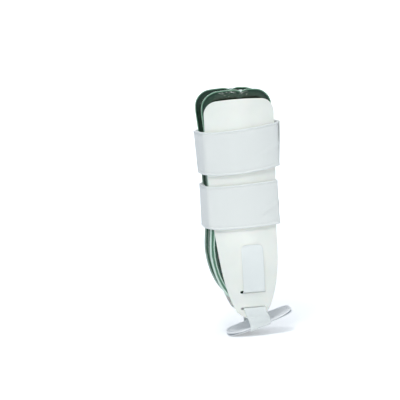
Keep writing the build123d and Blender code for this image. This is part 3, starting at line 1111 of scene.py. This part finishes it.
def heel_strap_tail(side):
    """Out of the upper slot and up the shell's face, with a stitched, rounded end."""
    sign = 1 if side == "medial" else -1
    lift = 1.0 + WEB_HALF
    exit_y = face_y(ARC_X, UPPER_SLOT_Z)
    corners = [(sign * (exit_y - 1.6), UPPER_SLOT_Z), (sign * (exit_y + lift), UPPER_SLOT_Z + 0.2)]
    radii = [0, 1.5]
    steps = 8
    for step in range(1, steps + 1):
        z = lerp(UPPER_SLOT_Z + 3.0, tail_high.z, step / steps)
        corners.append((sign * (face_y(WEB_X, z) + lift), z))
        radii.append(3.0)
    path = resample(round_path(corners, radii), 90)
    piece, surface = web_piece(f"{side}_heel_strap_tail", path, tip_radius=5.0)
    last = len(path) - 1
    places = []
    for row in (8, 12):
        distance = 3.0
        while distance < WEB_WIDTH - 3.0:
            point, normal = surface(last - row, distance)
            places.append((point + normal * WEBBING_THICKNESS, Vector((1, 0, 0)), normal))
            distance += STITCH_PITCH
    stitches = make_stitches(f"{side}_heel_strap_stitching", places)
    for part in (piece, stitches):
        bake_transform(part)
    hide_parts(f"{side}_strap_tail")


heel_strap_base()
for side in ("medial", "lateral"):
    heel_strap_threading(side)
    heel_strap_tail(side)


# ---- CAD nodes that keep their shape -------------------------------------------------------
SLOT_OF = {entry["node"]: entry["material_slot"] for entry in frame["record"]["subparts"]}
for name, node in nodes.items():
    node.data.materials.clear()
    node.data.materials.append(MATERIALS[SLOT_OF[name]])


# ---- stage, light and camera ---------------------------------------------------------------
def plain_material(name, colour, roughness):
    shader = Shader(name, Roughness=roughness)
    place = shader.coordinates()
    shader.colour(shader.noise(place, 0.004, 2.0), ((0.0, colour), (1.0, colour)))
    return shader.material


def add_stage():
    """A pale floor that curves up into a backdrop behind the object."""
    floor_z = cad_box[0][2]
    points, faces = [], []
    half_width = 8.0
    near = 8.0
    far = -1.6
    bend = 1.2
    wall_top = 4.0
    steps = 12
    profile = [(near, 0.0), (far, 0.0)]
    for step in range(1, steps + 1):
        angle = math.pi / 2 * step / steps
        profile.append((far - bend * math.sin(angle), bend * (1 - math.cos(angle))))
    profile.append((far - bend, wall_top))
    for y, z in profile:
        points += [(-half_width, y, floor_z + z), (half_width, y, floor_z + z)]
    for row in range(len(profile) - 1):
        a = 2 * row
        faces.append((a, a + 1, a + 3, a + 2))
    mesh = bpy.data.meshes.new("floor")
    mesh.from_pydata(points, [], faces)
    mesh.shade_smooth()
    paper = plain_material("floor_paper", (0.93, 0.94, 0.95), 0.8)
    surface = paper.node_tree.nodes["Principled BSDF"]
    surface.inputs["Emission Color"].default_value = (1.0, 1.0, 1.0, 1.0)
    path = paper.node_tree.nodes.new("ShaderNodeLightPath")
    glow = paper.node_tree.nodes.new("ShaderNodeMath")
    glow.operation = "MULTIPLY"
    glow.inputs[1].default_value = 0.28
    paper.node_tree.links.new(path.outputs["Is Camera Ray"], glow.inputs[0])
    paper.node_tree.links.new(glow.outputs[0], surface.inputs["Emission Strength"])
    mesh.materials.append(paper)
    floor = bpy.data.objects.new("floor", mesh)
    bpy.context.scene.collection.objects.link(floor)


def add_light(name, place, target, size, power, colour):
    data = bpy.data.lights.new(name, "AREA")
    data.shape = "DISK"
    data.size = size
    data.energy = power
    data.color = colour
    lamp = bpy.data.objects.new(name, data)
    bpy.context.scene.collection.objects.link(lamp)
    lamp.location = place
    lamp.rotation_euler = (Vector(target) - Vector(place)).to_track_quat("-Z", "Y").to_euler()


def add_camera():
    """The camera looks at the medial side from slightly ahead and above, rolled a little."""
    azimuth = math.radians(175.0)
    elevation = math.radians(4.5)
    roll = math.radians(-4.1)
    distance = 2.4
    frame_height = 0.4545
    target = Vector((0.0555, 0.0, 0.1475))
    level = math.cos(elevation)
    away = Vector((math.sin(azimuth) * level, -math.cos(azimuth) * level, math.sin(elevation)))
    data = bpy.data.cameras.new("camera")
    data.sensor_width = 36.0
    data.lens = 36.0 * distance / frame_height
    data.clip_end = 20.0
    camera = bpy.data.objects.new("camera", data)
    bpy.context.scene.collection.objects.link(camera)
    camera.location = target + away * distance
    look = (-away).to_track_quat("-Z", "Y").to_matrix().to_4x4()
    camera.matrix_world = Matrix.Translation(camera.location) @ look @ Matrix.Rotation(roll, 4, "Z")
    bpy.context.scene.camera = camera


def add_world():
    """Soft cool light from all round, seen by the camera as plain white."""
    world = bpy.data.worlds.new("studio")
    world.use_nodes = True
    tree = world.node_tree
    ambient = tree.nodes["Background"]
    ambient.inputs["Color"].default_value = (0.76, 0.87, 1.0, 1.0)
    ambient.inputs["Strength"].default_value = 0.44
    white = tree.nodes.new("ShaderNodeBackground")
    white.inputs["Strength"].default_value = 1.05
    path = tree.nodes.new("ShaderNodeLightPath")
    mix = tree.nodes.new("ShaderNodeMixShader")
    tree.links.new(path.outputs["Is Camera Ray"], mix.inputs[0])
    tree.links.new(ambient.outputs[0], mix.inputs[1])
    tree.links.new(white.outputs[0], mix.inputs[2])
    tree.links.new(mix.outputs[0], tree.nodes["World Output"].inputs["Surface"])
    bpy.context.scene.world = world


add_stage()
middle = Vector(cad_box[0]).lerp(Vector(cad_box[1]), 0.5)
add_light("overhead", (0.1, 0.5, 2.1), middle, size=2.0, power=19.0, colour=(1.0, 1.0, 0.98))
add_light("key", (0.05, 2.3, 0.3), middle, size=0.7, power=6.9, colour=(1.0, 0.975, 0.89))
add_light("sparkle", (0.3, 1.1, 1.6), middle, size=0.26, power=8.0, colour=(1.0, 1.0, 1.0))
add_light("fill", (0.2, -2.3, 0.8), middle, size=0.9, power=4.0, colour=(0.97, 0.985, 1.0))
add_light("backdrop", (0.0, -1.0, 1.6), (0.0, -2.8, 1.0), size=1.0, power=14.0,
          colour=(1.0, 1.0, 1.0))
add_world()
add_camera()
bpy.context.scene.view_settings.view_transform = "Standard"
